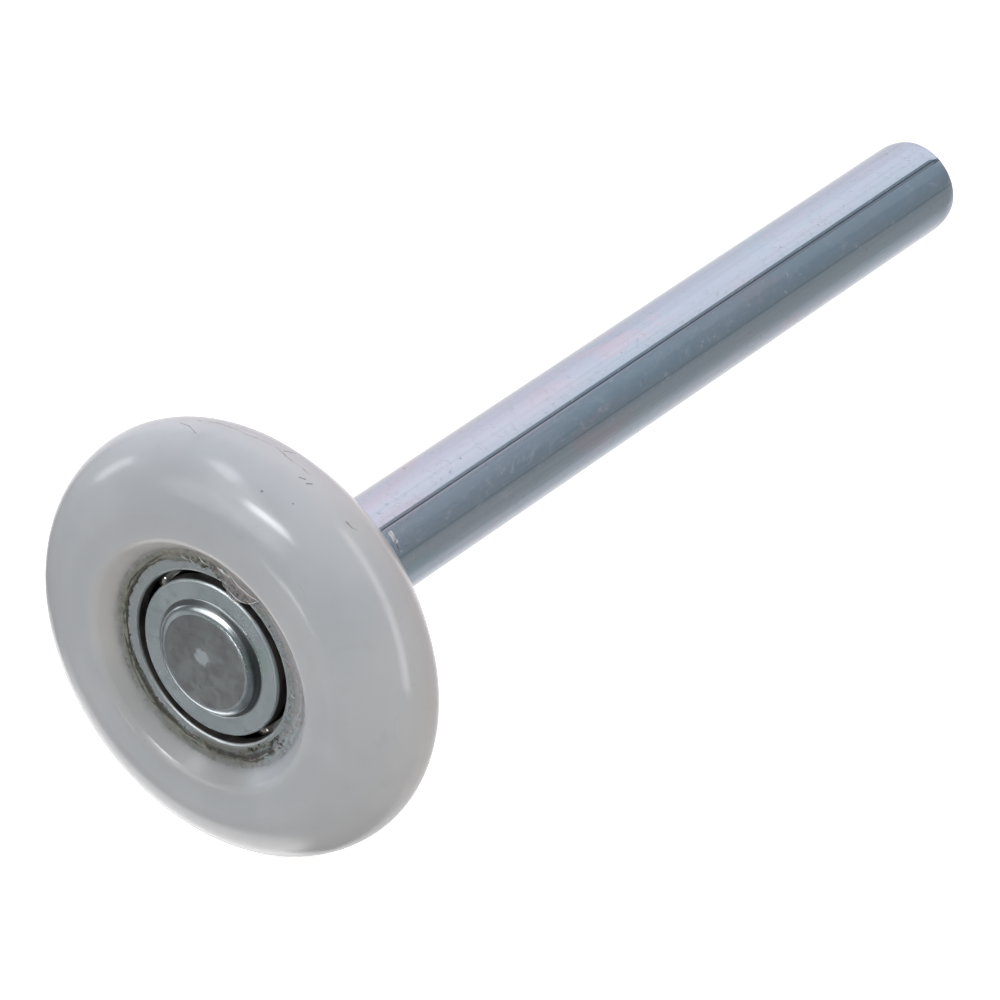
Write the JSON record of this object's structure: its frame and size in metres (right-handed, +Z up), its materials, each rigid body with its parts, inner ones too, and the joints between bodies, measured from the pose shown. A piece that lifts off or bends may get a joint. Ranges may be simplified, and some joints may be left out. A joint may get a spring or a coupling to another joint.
{
  "type": "door track roller",
  "caption": "Track roller for a sliding or sectional door: a rounded plastic wheel on an open ball bearing at the end of a long plain round steel stem.",
  "frame": {"origin": "centre of the tyre's tread, on the wheel's axis", "axes": "+Y along the stem, from the wheel's front face towards the stem's free end; +Z is up, across the stem"},
  "size_m": [0.0476, 0.1283, 0.0476],
  "materials": {
    "stem_steel": "bright zinc plate",
    "race_steel": "bright zinc plate",
    "ball_steel": "polished",
    "tyre_nylon": "natural milky nylon"
  },
  "bodies": {
    "stem_set": {"stem": "stem_steel", "inner_race_front": "race_steel", "inner_race_rear": "race_steel"},
    "wheel": {"tyre": "tyre_nylon", "outer_race": "race_steel"},
    "ball_set": {"ball_01": "ball_steel", "ball_02": "ball_steel", "ball_03": "ball_steel", "ball_04": "ball_steel", "ball_05": "ball_steel", "ball_06": "ball_steel", "ball_07": "ball_steel", "ball_08": "ball_steel", "ball_09": "ball_steel"}
  },
  "joints": [
    {"name": "wheel_spin", "type": "hinge", "parent": "stem_set", "child": "wheel", "pos_m": [0, 0, 0], "axis": [0, 1, 0], "continuous": true},
    {"name": "ball_orbit", "type": "hinge", "parent": "stem_set", "child": "ball_set", "pos_m": [0, 0, 0], "axis": [0, 1, 0], "continuous": true}
  ],
  "couplings": [
    {"joint": "ball_orbit", "follows": "wheel_spin", "ratio": 0.66979}
  ]
}
